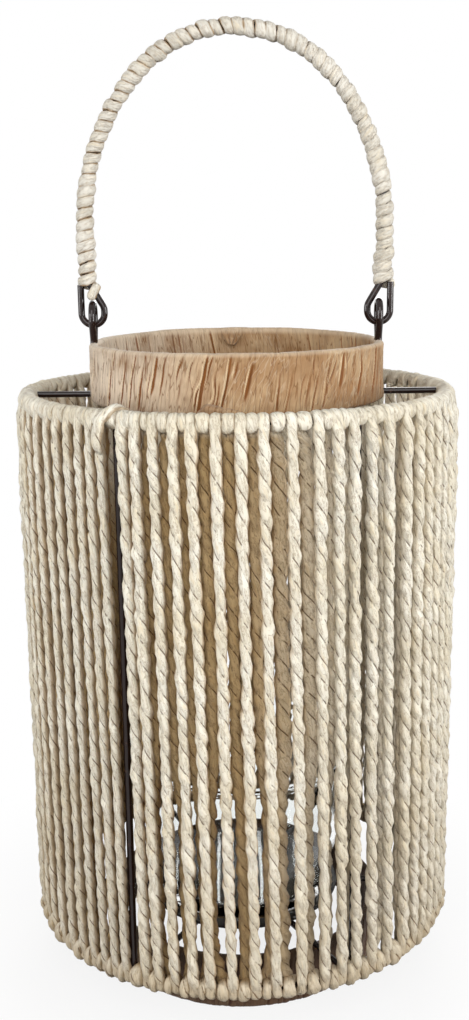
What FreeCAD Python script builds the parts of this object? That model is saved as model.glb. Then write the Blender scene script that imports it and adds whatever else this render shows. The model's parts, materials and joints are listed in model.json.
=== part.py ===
"""Hurricane candle lantern: a wire cage wound with cord, raffia collars, a glass cup and a bail handle.

Millimetres. The origin is on the floor, under the middle of the foot collar. +Z is up, the front
faces -Y, and the handle stands upright in the XZ plane with its eyes at -X and +X.
"""
import FreeCAD, Part
import Sketcher
import math
import os
from FreeCAD import Placement, Rotation, Vector

doc = FreeCAD.newDocument("hurricane_lantern")

# Driving sizes, each written once
SIZES = {
    # Wire cage
    "cage_radius": 115.0,  # axis to the outer face of the outer cords
    "cage_height": 279.3,  # bottom ring centre to top ring centre
    "ring_wire": 3.0,
    "strut_wire": 3.5,
    "spoke_wire": 3.2,
    "strut_count": 6,
    "top_spoke_count": 2,
    "weld_gap": 0.05,  # between two wires that are welded end to side
    "spoke_reach": 14.0,  # how far a bottom spoke runs in under the plate
    # Cage cord
    "cord": 4.4,
    "cord_gap": 0.15,  # cord to the ring wire that it turns round
    "strut_gap": 0.6,  # cord to the strut beside it
    "hanks_per_bay": 2,
    "loops_per_hank": 6,
    # Raffia collars
    "collar_radius": 76.5,  # axis to the outer face
    "collar_height": 29.6,
    "collar_wire": 3.2,
    "ribbon": 0.7,
    "ribbon_gap": 0.1,  # ribbon to the hoop wire inside it
    "ribbon_round": 1.2,  # rounding of the wrapped edges
    "hole_gap": 0.1,  # wire to the edge of the ribbon that it comes out of
    # Candle plate
    "plate_radius": 54.0,
    "plate_sheet": 1.2,
    "plate_round": 0.5,
    # Glass cup
    "cup_base_radius": 50.0,
    "cup_rim_radius": 65.0,
    "cup_height": 105.0,
    "cup_wall": 3.0,
    "cup_base": 6.0,
    "cup_foot_round": 5.0,
    "cup_well_round": 6.0,
    "cup_rim_round": 1.3,
    "seat_gap": 0.1,  # cup to plate
    # Eyes on the collar's rim
    "eye_wire": 3.5,
    "eye_height": 21.5,  # rim to the top of the eye
    "eye_width": 12.4,  # between the wire centres at the widest
    "eye_neck": 4.4,  # between the wire centres at the rim
    "eye_neck_rise": 1.5,  # rim to where the neck opens out
    "eye_flare_rise": 8.5,  # height over which it opens out
    "eye_bend": 5.0,
    # Handle
    "handle_wire": 3.5,
    "handle_width": 153.0,  # between the centres of the legs
    "handle_leg": 59.5,  # rim to where the legs start to bend
    "handle_rise": 94.8,  # from there to the centre of the crown
    "handle_side_turn": 41.0,  # degrees that a leg leans in before the crown
    "hook_drop": 8.75,  # rim to the centre of the hook's bottom
    "hook_width": 11.8,  # between the hook's two sides
    "hook_tip_rise": 20.5,  # bottom of the hook to its tip
    "hook_side_rise": 3.0,  # straight inner side above the hook's round bottom
    "hook_lean_rise": 14.0,  # height over which the wire leans out to the leg
    "hook_bend": 5.9,
    # Cord served round the handle
    "serving_cord": 2.4,
    "serving_gap": 0.15,  # cord to handle wire
    "serving_pitch": 5.5,
    "serving_rise": 2.2,  # top of the leaning wire to the first turn
    "serving_joint": 0.6,  # between one length of the serving and the next
}

# Places that follow from the driving sizes
LAYOUT = {
    "cord_offset": "Sizes.ring_wire / 2 + Sizes.cord / 2 + Sizes.cord_gap",
    "ring_radius": "Sizes.cage_radius - Sizes.cord / 2 - cord_offset",
    "hoop_inset": "Sizes.ribbon + Sizes.ribbon_gap + Sizes.collar_wire / 2",
    "hoop_radius": "Sizes.collar_radius - hoop_inset",
    "collar_bore": "Sizes.collar_radius - 2 * hoop_inset",
    "low_spoke_z": "Sizes.collar_height - hoop_inset + (Sizes.collar_wire + Sizes.spoke_wire) / 2",
    "low_ring_z": "low_spoke_z + (Sizes.spoke_wire + Sizes.ring_wire) / 2",
    "high_ring_z": "low_ring_z + Sizes.cage_height",
    "top_collar_z": "high_ring_z - hoop_inset",
    "rim_z": "top_collar_z + Sizes.collar_height",
    "plate_z": "low_spoke_z + Sizes.spoke_wire / 2",
    "cup_z": "plate_z + Sizes.plate_sheet + Sizes.seat_gap",
    "cup_flare": "(Sizes.cup_rim_radius - Sizes.cup_base_radius) / Sizes.cup_height",
    "hook_z": "rim_z + Sizes.hook_drop",
    "lean_z": "hook_z + Sizes.hook_width / 2 + Sizes.hook_side_rise",
    "leg_z": "lean_z + Sizes.hook_lean_rise",
    "serving_z": "leg_z + Sizes.serving_rise",
    "spring_z": "rim_z + Sizes.handle_leg",
}


def make_sheet(name, cells):
    """A spreadsheet with one named cell in each row."""
    sheet = doc.addObject("Spreadsheet::Sheet", name)
    for row, (alias, content) in enumerate(cells.items(), start=1):
        sheet.set(f"A{row}", alias)
        sheet.setAlias(f"B{row}", alias)
        sheet.set(f"B{row}", content)
    return sheet


sizes = make_sheet("Sizes", {alias: str(value) for alias, value in SIZES.items()})
layout = make_sheet("Layout", {alias: "=" + formula for alias, formula in LAYOUT.items()})
doc.recompute()


def size(alias):
    """A driving size, read from its sheet."""
    return float(sizes.get(alias))


def place(alias):
    """A place that follows from the sizes, read from its sheet."""
    return float(layout.get(alias))


def bind(item, **formulas):
    """Tie properties of a document object to the sheets; a double underscore stands for a dot."""
    for name, formula in formulas.items():
        item.setExpression(name.replace("__", "."), formula)
    return item


pieces = []


def piece(label, item):
    """Keep a document object as a finished sub-part under its own name."""
    item.Label = label
    pieces.append(item)
    return item


# Straight wires, rings and booleans
def ring(name, radius, wire, height):
    """A closed ring of round wire, lying flat."""
    item = doc.addObject("Part::Torus", name)
    return bind(item, Radius1=radius, Radius2=f"{wire} / 2", Placement__Base__z=height)


def rod(name, wire, length, radius, angle, height):
    """A round wire standing at a distance and a direction from the axis."""
    item = doc.addObject("Part::Cylinder", name)
    bind(item, Radius=f"({wire}) / 2", Height=length, Placement__Base__z=height)
    return bind(
        item,
        Placement__Base__x=f"({radius}) * cos({angle})",
        Placement__Base__y=f"({radius}) * sin({angle})",
    )


def spoke(name, wire, inner, outer, angle, height):
    """A round wire lying level along a radius, from an inner to an outer distance."""
    item = rod(name, wire, f"({outer}) - ({inner})", inner, angle, height)
    heading = Rotation(Vector(0, 0, 1), float(item.evalExpression(angle)))
    item.Placement.Rotation = heading * Rotation(Vector(0, 1, 0), 90)
    return item


def drum(name, radius, height, bottom):
    """A plain cylinder on the axis."""
    item = doc.addObject("Part::Cylinder", name)
    return bind(item, Radius=radius, Height=height, Placement__Base__z=bottom)


def cut(name, base, tool):
    """One shape less another."""
    item = doc.addObject("Part::Cut", name)
    item.Base = base
    item.Tool = tool
    return item


def group(name, items):
    """Several shapes kept together as one."""
    item = doc.addObject("Part::Compound", name)
    item.Links = items
    return item


# Tubes on lines and tangent arcs
def line(start, end):
    """A straight edge."""
    return Part.LineSegment(start, end).toShape()


def arc(start, heading, end):
    """The arc that leaves start along heading and reaches end."""
    chord = end - start
    forward = Vector(chord).normalize()
    side = heading - forward * heading.dot(forward)
    half_turn = heading.getAngle(forward)
    sag = chord.Length / 2 * math.tan(half_turn / 2)
    middle = start + chord / 2 + side.normalize() * sag
    return Part.Arc(start, middle, end).toShape()


def biarc(start, heading, end, arrival):
    """Two tangent arcs that leave start along heading and reach end along arrival."""
    chord = end - start
    both = chord.dot(heading + arrival)
    spread = 2 * (1 - heading.dot(arrival))
    reach = (math.sqrt(both**2 + spread * chord.dot(chord)) - both) / spread
    joint = (start + end + (heading - arrival) * reach) / 2
    first = arc(start, heading, joint)
    second = arc(joint, first.tangentAt(first.LastParameter), end)
    return [first, second]


def bent(points, bends):
    """Straight runs from point to point, with each corner bent to its radius."""
    edges = []
    start = points[0]
    for before, corner, after, bend in zip(points, points[1:], points[2:], bends):
        back = (before - corner).normalize()
        onward = (after - corner).normalize()
        reach = bend * math.tan((math.pi - back.getAngle(onward)) / 2)
        bend_start = corner + back * reach
        bend_end = corner + onward * reach
        if (bend_start - start).Length > 1e-6:
            edges.append(line(start, bend_start))
        edges.append(arc(bend_start, -back, bend_end))
        start = bend_end
    edges.append(line(start, points[-1]))
    return edges


def tube(edges, wire):
    """A round tube along edges that follow one another, checked against section times length."""
    route = Part.Wire(edges)
    first = edges[0]
    start = first.valueAt(first.FirstParameter)
    heading = first.tangentAt(first.FirstParameter)
    section = Part.Wire([Part.Circle(start, heading, wire / 2).toShape()])
    solid = route.makePipeShell([section], True, False)
    share = solid.Volume / (math.pi * wire**2 / 4 * route.Length)
    if abs(share - 1) > 0.01:
        raise ValueError(f"a tube has {share:.3f} of its section times its length")
    return solid


def least_gap(edges, wire, step):
    """Least clear distance of a wound tube to its own other turns, on points along its middle."""
    route = Part.Wire(edges)
    points = route.discretize(Distance=step)
    apart = math.ceil(3 * wire / step)
    return min(
        (point - other).Length - wire
        for index, point in enumerate(points)
        for other in points[index + apart:]
    )


def shaped(label, shape, placement=Placement()):
    """A sub-part whose shape is made in code from the sheet's sizes."""
    item = doc.addObject("Part::Feature", label)
    item.Shape = shape
    item.Placement = placement
    return piece(label, item)


# Wire cage: two rings, upright struts, and spokes in to the collars
def round_angles(count):
    """Even directions round the axis, as formulas on a count in the sheet."""
    return [f"360 / Sizes.{count} * {index}" for index in range(int(size(count)))]


strut_angles = round_angles("strut_count")
top_spoke_angles = round_angles("top_spoke_count")

piece("bottom_ring", ring("BottomRing", "Layout.ring_radius", "Sizes.ring_wire", "Layout.low_ring_z"))
piece("top_ring", ring("TopRing", "Layout.ring_radius", "Sizes.ring_wire", "Layout.high_ring_z"))

strut_length = "Sizes.cage_height - Sizes.ring_wire - 2 * Sizes.weld_gap"
strut_z = "Layout.low_ring_z + Sizes.ring_wire / 2 + Sizes.weld_gap"
hoop_face = "Layout.hoop_radius + Sizes.collar_wire / 2 + Sizes.weld_gap"
ring_face = "Layout.ring_radius - Sizes.ring_wire / 2 - Sizes.weld_gap"
under_plate = "Sizes.plate_radius - Sizes.spoke_reach"
under_ring = "Layout.ring_radius + Sizes.ring_wire / 2"
for number, angle in enumerate(strut_angles, start=1):
    strut = rod(f"Strut{number}", "Sizes.strut_wire", strut_length, "Layout.ring_radius", angle, strut_z)
    piece(f"strut_{number}", strut)
    low = spoke(f"LowSpoke{number}", "Sizes.spoke_wire", under_plate, under_ring, angle, "Layout.low_spoke_z")
    piece(f"bottom_spoke_{number}", low)
for number, angle in enumerate(top_spoke_angles, start=1):
    top = spoke(f"TopSpoke{number}", "Sizes.spoke_wire", hoop_face, ring_face, angle, "Layout.high_ring_z")
    piece(f"top_spoke_{number}", top)


# Raffia collars: two wire hoops with posts between them, inside a wound ribbon
def collar(name, bottom, wires):
    """A collar standing at a height, with holes in its ribbon where wires come out."""
    hoop = "Layout.hoop_radius"
    lower_z = f"{bottom} + Layout.hoop_inset"
    upper_z = f"{bottom} + Sizes.collar_height - Layout.hoop_inset"
    piece(f"{name}_lower_hoop", ring(f"{name}_low", hoop, "Sizes.collar_wire", lower_z))
    piece(f"{name}_upper_hoop", ring(f"{name}_high", hoop, "Sizes.collar_wire", upper_z))
    post_z = f"{lower_z} + Sizes.collar_wire / 2 + Sizes.weld_gap"
    post_height = "Sizes.collar_height - 2 * (Layout.hoop_inset + Sizes.weld_gap) - Sizes.collar_wire"
    posts = [
        rod(f"{name}_post", "Sizes.collar_wire", post_height, hoop, angle, post_z) for angle in strut_angles
    ]
    piece(f"{name}_posts", group(f"{name}_post_group", posts))

    outside = drum(f"{name}_outside", "Sizes.collar_radius", "Sizes.collar_height", bottom)
    bore = drum(f"{name}_bore", "Layout.collar_bore", "Sizes.collar_height", bottom)
    band = cut(f"{name}_band", outside, bore)
    doc.recompute()
    rounded = doc.addObject("Part::Fillet", f"{name}_rounded")
    rounded.Base = band
    bend = size("ribbon_round")
    rims = [index for index, edge in enumerate(band.Shape.Edges, start=1) if edge.Closed]
    rounded.Edges = [(index, bend, bend) for index in rims]
    hollow_height = "Sizes.collar_height - 2 * Sizes.ribbon"
    hollow_z = f"{bottom} + Sizes.ribbon"
    wide = drum(f"{name}_wide", "Sizes.collar_radius - Sizes.ribbon", hollow_height, hollow_z)
    core = drum(f"{name}_core", "Layout.collar_bore + Sizes.ribbon", hollow_height, hollow_z)
    skin = cut(f"{name}_skin", rounded, cut(f"{name}_hollow", wide, core))
    piece(f"{name}_wrap", cut(f"{name}_ribbon", skin, group(f"{name}_holes", wires)))


hole = "Sizes.spoke_wire + 2 * Sizes.hole_gap"
beyond = "Sizes.collar_radius + Sizes.ribbon"
low_holes = [
    spoke("LowHole", hole, "Layout.collar_bore - Sizes.ribbon", beyond, angle, "Layout.low_spoke_z")
    for angle in strut_angles
]
collar("foot_collar", "0", low_holes)

top_holes = [
    spoke("TopHole", hole, "Layout.hoop_radius", beyond, angle, "Layout.high_ring_z")
    for angle in top_spoke_angles
]
eye_hole = "Sizes.eye_wire / 2 + Sizes.hole_gap"
hoop_z = "Layout.rim_z - Layout.hoop_inset"
for side in (-1, 1):
    for leg in (-1, 1):
        socket = drum("EyeHole", eye_hole, "2 * Layout.hoop_inset", hoop_z)
        bind(socket, Placement__Base__x=f"Layout.hoop_radius * {side}")
        top_holes.append(bind(socket, Placement__Base__y=f"Sizes.eye_neck / 2 * {leg}"))
collar("top_collar", "Layout.top_collar_z", top_holes)


# Candle plate and glass cup, turned about the axis
def turned_body(label, outline, bottom):
    """A body turned from an outline of radius and height formulas, standing at a height."""
    body = doc.addObject("PartDesign::Body", f"{label}_body")
    sketch = body.newObject("Sketcher::SketchObject", f"{label}_outline")
    plane = next(item for item in body.Origin.OriginFeatures if item.Role == "XZ_Plane")
    sketch.AttachmentSupport = [(plane, "")]
    sketch.MapMode = "FlatFace"
    corners = [Vector(*(float(body.evalExpression(term)) for term in corner), 0) for corner in outline]
    for index, corner in enumerate(corners):
        sketch.addGeometry(Part.LineSegment(corner, corners[(index + 1) % len(corners)]))
    for index, corner in enumerate(corners):
        follower = (index + 1) % len(corners)
        sketch.addConstraint(Sketcher.Constraint("Coincident", index, 2, follower, 1))
        for direction, axis, term, value in zip("XY", (-2, -1), outline[index], corner):
            if term == "0":
                sketch.addConstraint(Sketcher.Constraint("PointOnObject", index, 1, axis))
            else:
                datum = sketch.addConstraint(
                    Sketcher.Constraint(f"Distance{direction}", -1, 1, index, 1, value)
                )
                sketch.setExpression(f"Constraints[{datum}]", term)
    solid = body.newObject("PartDesign::Revolution", f"{label}_turned")
    solid.Profile = sketch
    solid.ReferenceAxis = (sketch, ["V_Axis"])
    solid.Angle = 360
    bind(body, Placement__Base__z=bottom)
    doc.recompute()
    return piece(label, body)


def round_rims(body, bend, *rims):
    """Round the circular edges at these (radius, height) formulas of a turned body."""
    base = body.Tip
    wanted = [[float(body.evalExpression(term)) for term in rim] for rim in rims]
    names = []
    for number, edge in enumerate(base.Shape.Edges, start=1):
        found = [edge.BoundBox.XMax, edge.BoundBox.ZMax]
        level = edge.BoundBox.ZLength < 1e-6
        if level and any(math.dist(found, rim) < 1e-3 for rim in wanted):
            names.append(f"Edge{number}")
    rounding = body.newObject("PartDesign::Fillet", f"{base.Name}_rounded")
    rounding.Base = (base, names)
    bind(rounding, Radius=bend)
    doc.recompute()


plate_rim = ("Sizes.plate_radius", "Sizes.plate_sheet")
plate_foot = ("Sizes.plate_radius", "0")
plate_outline = [("0", "0"), plate_foot, plate_rim, ("0", "Sizes.plate_sheet")]
plate = turned_body("candle_plate", plate_outline, "Layout.plate_z")
round_rims(plate, "Sizes.plate_round", plate_rim, plate_foot)

cup_foot = ("Sizes.cup_base_radius", "0")
cup_rim = ("Sizes.cup_rim_radius", "Sizes.cup_height")
cup_lip = ("Sizes.cup_rim_radius - Sizes.cup_wall", "Sizes.cup_height")
cup_well = (
    "Sizes.cup_base_radius - Sizes.cup_wall + Layout.cup_flare * Sizes.cup_base",
    "Sizes.cup_base",
)
cup_outline = [("0", "0"), cup_foot, cup_rim, cup_lip, cup_well, ("0", "Sizes.cup_base")]
cup = turned_body("glass_cup", cup_outline, "Layout.cup_z")
round_rims(cup, "Sizes.cup_rim_round", cup_rim, cup_lip)
round_rims(cup, "Sizes.cup_foot_round", cup_foot)
round_rims(cup, "Sizes.cup_well_round", cup_well)


# Eyes: one bent wire each, standing on the top collar's upper hoop
rim_z = place("rim_z")
eye_foot = rim_z - size("ribbon") - size("ribbon_gap") + size("weld_gap")
eye_neck_z = rim_z + size("eye_neck_rise")
eye_flare_z = eye_neck_z + size("eye_flare_rise")
eye_top = rim_z + size("eye_height") - size("eye_wire") / 2
neck = size("eye_neck") / 2
shoulder = size("eye_width") / 2
half_eye = [(neck, eye_foot), (neck, eye_neck_z), (shoulder, eye_flare_z), (shoulder, eye_top)]
eye_bends = [size("eye_bend"), size("eye_bend"), shoulder]
for label, side in (("left_eye", -1), ("right_eye", 1)):
    eye_x = place("hoop_radius") * side
    front_half = [Vector(eye_x, -across, height) for across, height in half_eye]
    back_half = [Vector(eye_x, across, height) for across, height in reversed(half_eye)]
    shaped(label, tube(bent(front_half + back_half, eye_bends + eye_bends[::-1]), size("eye_wire")))


# Cage cord: up the outside, over the top ring, down the inside and under the bottom ring
bay_count = len(strut_angles)
bay_angle = 360 / bay_count
strut_reach = (size("cord") + size("strut_wire")) / 2 + size("strut_gap")
strut_side = math.sqrt(max(strut_reach**2 - place("cord_offset") ** 2, 0))
strut_margin = math.degrees(math.asin(strut_side / place("ring_radius")))
hanks_per_bay = int(size("hanks_per_bay"))
loops = int(size("loops_per_hank"))
loop_angle = (bay_angle - 2 * strut_margin) / (hanks_per_bay * loops)


def cage_point(layer, angle, height):
    """A point in the outer (1) or inner (-1) layer of cords."""
    radius = place("ring_radius") + place("cord_offset") * layer
    turn = math.radians(angle)
    return Vector(radius * math.cos(turn), radius * math.sin(turn), place(height))


hank_edges = []
for loop in range(loops):
    angle = loop * loop_angle
    up_start = cage_point(1, angle + loop_angle / 2, "low_ring_z")
    up_end = cage_point(1, angle, "high_ring_z")
    down_start = cage_point(-1, angle + loop_angle / 2, "high_ring_z")
    down_end = cage_point(-1, angle + loop_angle, "low_ring_z")
    up = (up_end - up_start).normalize()
    down = (down_end - down_start).normalize()
    if loop:
        hank_edges += biarc(last_end, last_heading, up_start, up)
    hank_edges.append(line(up_start, up_end))
    hank_edges += biarc(up_end, up, down_start, down)
    hank_edges.append(line(down_start, down_end))
    last_end = down_end
    last_heading = down

hank = tube(hank_edges, size("cord"))
print(f"cage cord: {Part.Wire(hank_edges).Length:.0f} mm a hank, {loops} loops,",
      f"least gap to itself {least_gap(hank_edges, size('cord'), size('cord')):.2f} mm")
for bay in range(bay_count):
    for turn in range(hanks_per_bay):
        start_angle = bay * bay_angle + strut_margin + turn * loops * loop_angle
        number = bay * hanks_per_bay + turn + 1
        shaped(f"cage_cord_{number}", hank, Placement(Vector(), Rotation(Vector(0, 0, 1), start_angle)))


# Handle: one wire, arched, with an open hook at each end
half_width = size("handle_width") / 2
rise = size("handle_rise")
spring_z = place("spring_z")
side_turn = math.radians(size("handle_side_turn"))
fall = 1 - math.cos(side_turn)
crown_radius = (half_width * math.sin(side_turn) - rise * fall) / (math.sin(side_turn) - fall)
side_radius = (half_width - crown_radius * math.cos(side_turn)) / fall


def side_point(side, turn):
    """A point of the arch's left (-1) or right (1) side, at a turn from where the leg ends."""
    across = half_width - side_radius + side_radius * math.cos(turn)
    return Vector(across * side, 0, spring_z + side_radius * math.sin(turn))


crown = Vector(0, 0, spring_z + rise)
arch_edges = [
    Part.Arc(side_point(-1, 0), side_point(-1, side_turn / 2), side_point(-1, side_turn)).toShape(),
    Part.Arc(side_point(-1, side_turn), crown, side_point(1, side_turn)).toShape(),
    Part.Arc(side_point(1, side_turn), side_point(1, side_turn / 2), side_point(1, 0)).toShape(),
]
hook_half = size("hook_width") / 2
hook_outer = place("hoop_radius") + hook_half
hook_inner = place("hoop_radius") - hook_half
hook_z = place("hook_z")
hook_route = [
    (hook_outer, hook_z + size("hook_tip_rise")),
    (hook_outer, hook_z),
    (hook_inner, hook_z),
    (hook_inner, place("lean_z")),
    (half_width, place("leg_z")),
    (half_width, spring_z),
]
hook_bends = [hook_half, hook_half, size("hook_bend"), size("hook_bend")]
left_hook = bent([Vector(-across, 0, height) for across, height in hook_route], hook_bends)
right_hook = bent([Vector(across, 0, height) for across, height in reversed(hook_route)], hook_bends[::-1])
shaped("handle_wire", tube(left_hook + arch_edges + right_hook, size("handle_wire")))


# Cord served round the handle, in three lengths: left side, crown and right side
serving_z = place("serving_z")
left_leg = line(Vector(-half_width, 0, serving_z), side_point(-1, 0))
right_leg = line(side_point(1, 0), Vector(half_width, 0, serving_z))
served_edges = [left_leg, *arch_edges, right_leg]
serving_radius = (size("handle_wire") + size("serving_cord")) / 2 + size("serving_gap")
outward = Vector(0, 1, 0)


def serving_point(distance):
    """Middle of the serving cord at a distance along the handle, wound right-handed."""
    remaining = distance
    for edge in served_edges:
        if remaining <= edge.Length or edge is served_edges[-1]:
            break
        remaining -= edge.Length
    at = edge.getParameterByLength(remaining)
    turn = 2 * math.pi * distance / size("serving_pitch")
    normal = outward.cross(edge.tangentAt(at))
    return edge.valueAt(at) + (normal * math.cos(turn) + outward * math.sin(turn)) * serving_radius


def serving_heading(distance):
    """Direction of the serving cord at a distance along the handle."""
    nudge = size("serving_pitch") / 1000
    return (serving_point(distance + nudge) - serving_point(distance - nudge)).normalize()


side_length = left_leg.Length + arch_edges[0].Length
crown_end = side_length + arch_edges[1].Length
served_length = crown_end + side_length
joint = size("serving_joint")
spans = {
    "handle_serving_left": (joint, side_length - joint),
    "handle_serving_crown": (side_length + joint, crown_end - joint),
    "handle_serving_right": (crown_end + joint, served_length - joint),
}
for label, (begin, finish) in spans.items():
    half_turns = round((finish - begin) / (size("serving_pitch") / 2))
    stations = [begin + (finish - begin) * index / half_turns for index in range(half_turns + 1)]
    turns = []
    for here, there in zip(stations, stations[1:]):
        turns += biarc(
            serving_point(here), serving_heading(here), serving_point(there), serving_heading(there)
        )
    shaped(label, tube(turns, size("serving_cord")))
    clear = least_gap(turns, size("serving_cord"), size("serving_cord") / 2)
    print(f"{label}: {half_turns / 2:.1f} turns, least gap to itself {clear:.2f} mm")

doc.recompute()

# Every object has to be sound before anything is written
for item in doc.Objects:
    if "Invalid" in item.State or "Error" in item.State:
        raise RuntimeError(f"{item.Label} failed: {item.State}")
for item in pieces:
    if item.Shape.isNull() or not item.Shape.isValid() or not item.Shape.Solids:
        raise RuntimeError(f"{item.Label} has no sound solid")

os.makedirs("parts", exist_ok=True)
for item in pieces:
    item.Shape.exportStep(f"parts/{item.Label}.step")
print(f"{len(pieces)} sub-parts written")
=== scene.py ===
import json
import math

import bpy
import numpy as np
from mathutils import Matrix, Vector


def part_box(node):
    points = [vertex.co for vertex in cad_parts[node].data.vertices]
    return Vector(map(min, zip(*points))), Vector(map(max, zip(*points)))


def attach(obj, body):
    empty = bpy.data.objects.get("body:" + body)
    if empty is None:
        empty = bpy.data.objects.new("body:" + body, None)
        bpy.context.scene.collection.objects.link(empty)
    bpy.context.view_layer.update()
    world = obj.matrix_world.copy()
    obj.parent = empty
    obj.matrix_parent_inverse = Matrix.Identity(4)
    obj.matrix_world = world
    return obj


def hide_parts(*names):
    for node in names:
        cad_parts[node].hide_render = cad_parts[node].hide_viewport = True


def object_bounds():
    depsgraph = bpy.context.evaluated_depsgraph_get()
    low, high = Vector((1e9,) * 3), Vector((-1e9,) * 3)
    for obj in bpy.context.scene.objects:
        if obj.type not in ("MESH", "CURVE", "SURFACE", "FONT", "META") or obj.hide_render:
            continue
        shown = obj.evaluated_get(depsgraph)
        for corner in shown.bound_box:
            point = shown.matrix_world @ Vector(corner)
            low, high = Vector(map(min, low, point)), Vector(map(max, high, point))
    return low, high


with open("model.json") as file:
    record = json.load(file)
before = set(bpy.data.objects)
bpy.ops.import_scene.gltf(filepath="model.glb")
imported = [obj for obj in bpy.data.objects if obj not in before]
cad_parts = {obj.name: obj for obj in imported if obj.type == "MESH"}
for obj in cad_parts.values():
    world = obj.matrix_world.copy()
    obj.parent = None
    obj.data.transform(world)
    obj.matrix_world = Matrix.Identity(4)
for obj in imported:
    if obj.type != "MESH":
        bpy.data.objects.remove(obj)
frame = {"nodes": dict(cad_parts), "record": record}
cad_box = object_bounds()
mm = 0.001


# Camera
# It stands where the photograph was taken from: in front of the lantern, a little above its rim and
# looking down at it. The small roll and shift frame the lantern as the photograph does.
IMAGE_WIDTH, IMAGE_HEIGHT = 469, 1020
AXIS_PIXEL = 238.1
FOCAL_PIXELS = 1204.4
camera_distance = 632.6 * mm
camera_height = 390.5 * mm
camera_dip = math.radians(12.586)
camera_roll = math.radians(-0.65)

bpy.ops.object.camera_add()
camera = bpy.context.object
camera.data.lens = FOCAL_PIXELS / IMAGE_HEIGHT * camera.data.sensor_width
camera.data.shift_x = (IMAGE_WIDTH / 2 - AXIS_PIXEL) / IMAGE_HEIGHT
camera.matrix_world = (
    Matrix.Translation((0, -camera_distance, camera_height))
    @ Matrix.Rotation(math.pi / 2 - camera_dip, 4, "X")
    @ Matrix.Rotation(camera_roll, 4, "Z")
)
bpy.context.scene.camera = camera
bpy.context.scene.view_settings.view_transform = "Standard"


# Studio
# A white room: soft lamps in front, at both sides and behind, an even glow all round, and a floor that
# looks white except for the soft shadow close to the lantern's foot.
class Value:
    """A socket in a node tree. Arithmetic on it adds Math nodes, and node() adds any other node."""

    def __init__(self, tree, socket=None):
        self.tree = tree
        self.socket = socket

    def node(self, kind, settings=None, inputs=None, output=0):
        made = self.tree.nodes.new("ShaderNode" + kind)
        for name, setting in (settings or {}).items():
            setattr(made, name, setting)
        for name, given in (inputs or {}).items():
            if isinstance(given, Value):
                self.tree.links.new(given.socket, made.inputs[name])
            else:
                made.inputs[name].default_value = given
        return Value(self.tree, made.outputs[output])

    def feed(self, node, socket):
        """Link this value into a socket of a node."""
        self.tree.links.new(self.socket, node.inputs[socket])

    def math(self, operation, *operands):
        return self.node("Math", {"operation": operation}, dict(enumerate(operands)))

    def absolute(self):
        return self.math("ABSOLUTE", self)

    def between(self, low, high):
        """0 below low, 1 above high, and smooth in between."""
        sockets = {"Value": self, "From Min": low, "From Max": high}
        return self.node("MapRange", {"interpolation_type": "SMOOTHSTEP"}, sockets)

    def part(self, axis):
        """The X, Y or Z of a vector."""
        return self.node("SeparateXYZ", None, {0: self}, axis)

    def mix(self, first, second):
        """The first colour where this value is 0, the second where it is 1."""
        sockets = {"Factor": self, 6: first, 7: second}
        return self.node("Mix", {"data_type": "RGBA"}, sockets, 2)

    def multiplied_by(self, shade_tint, share=1.0):
        """This colour multiplied by another one, in full or by a share."""
        settings = {"data_type": "RGBA", "blend_type": "MULTIPLY"}
        return self.node("Mix", settings, {"Factor": share, 6: self, 7: shade_tint}, 2)

    def __add__(self, other):
        return self.math("ADD", self, other)

    def __sub__(self, other):
        return self.math("SUBTRACT", self, other)

    def __rsub__(self, other):
        return self.math("SUBTRACT", other, self)

    def __mul__(self, other):
        return self.math("MULTIPLY", self, other)

    __radd__ = __add__
    __rmul__ = __mul__


def tint(red, green, blue):
    """A colour named by its screen values from 0 to 255, as the shader's linear colour."""
    steps = [value / 255 for value in (red, green, blue)]
    return (*(((step + 0.055) / 1.055) ** 2.4 if step > 0.04 else step / 12.92 for step in steps), 1)


GLOW = 0.13
LAMPS = (
    # place in metres, side in metres, watts
    ((-0.05, -1.25, 0.85), 1.1, 13.0),
    ((-1.3, -0.75, 0.4), 0.55, 11),
    ((1.3, -0.75, 0.4), 0.55, 16),
    ((0.2, 1.5, 0.9), 1.0, 18),
)
FLOOR_SIDE = 12
FLOOR_SEEN = tint(240, 239, 237)
FLOOR_BOUNCE = tint(70, 68, 66)
SHADOW_SHARE = 0.16
SHADOW_REACH = 0.24

world = bpy.data.worlds.new("studio")
world.use_nodes = True
bpy.context.scene.world = world
room = Value(world.node_tree)


def seen_directly(start):
    """1 for rays that show the background itself, 0 for those that only carry its light."""
    rays = ("Is Camera Ray", "Is Glossy Ray", "Is Transmission Ray")
    straight, mirrored, through = (start.node("LightPath", output=name) for name in rays)
    return start.math("MAXIMUM", straight, start.math("MAXIMUM", mirrored, through))


def deselect():
    """Leave nothing selected, so that operators act on the next piece alone."""
    bpy.ops.object.select_all(action="DESELECT")


glow = seen_directly(room) * (1 - GLOW) + GLOW
glow.feed(world.node_tree.nodes["Background"], "Strength")
world.node_tree.nodes["Background"].inputs["Color"].default_value = (1, 1, 1, 1)

for number, (place, side, watts) in enumerate(LAMPS, start=1):
    bpy.ops.object.light_add(type="AREA", location=place)
    lamp = bpy.context.object
    lamp.name = f"softbox_{number}"
    lamp.data.size = side
    lamp.data.energy = watts
    aim = (cad_box[0] + cad_box[1]) / 2 - lamp.location
    lamp.rotation_mode = "QUATERNION"
    lamp.rotation_quaternion = aim.to_track_quat("-Z", "Y")

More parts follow.
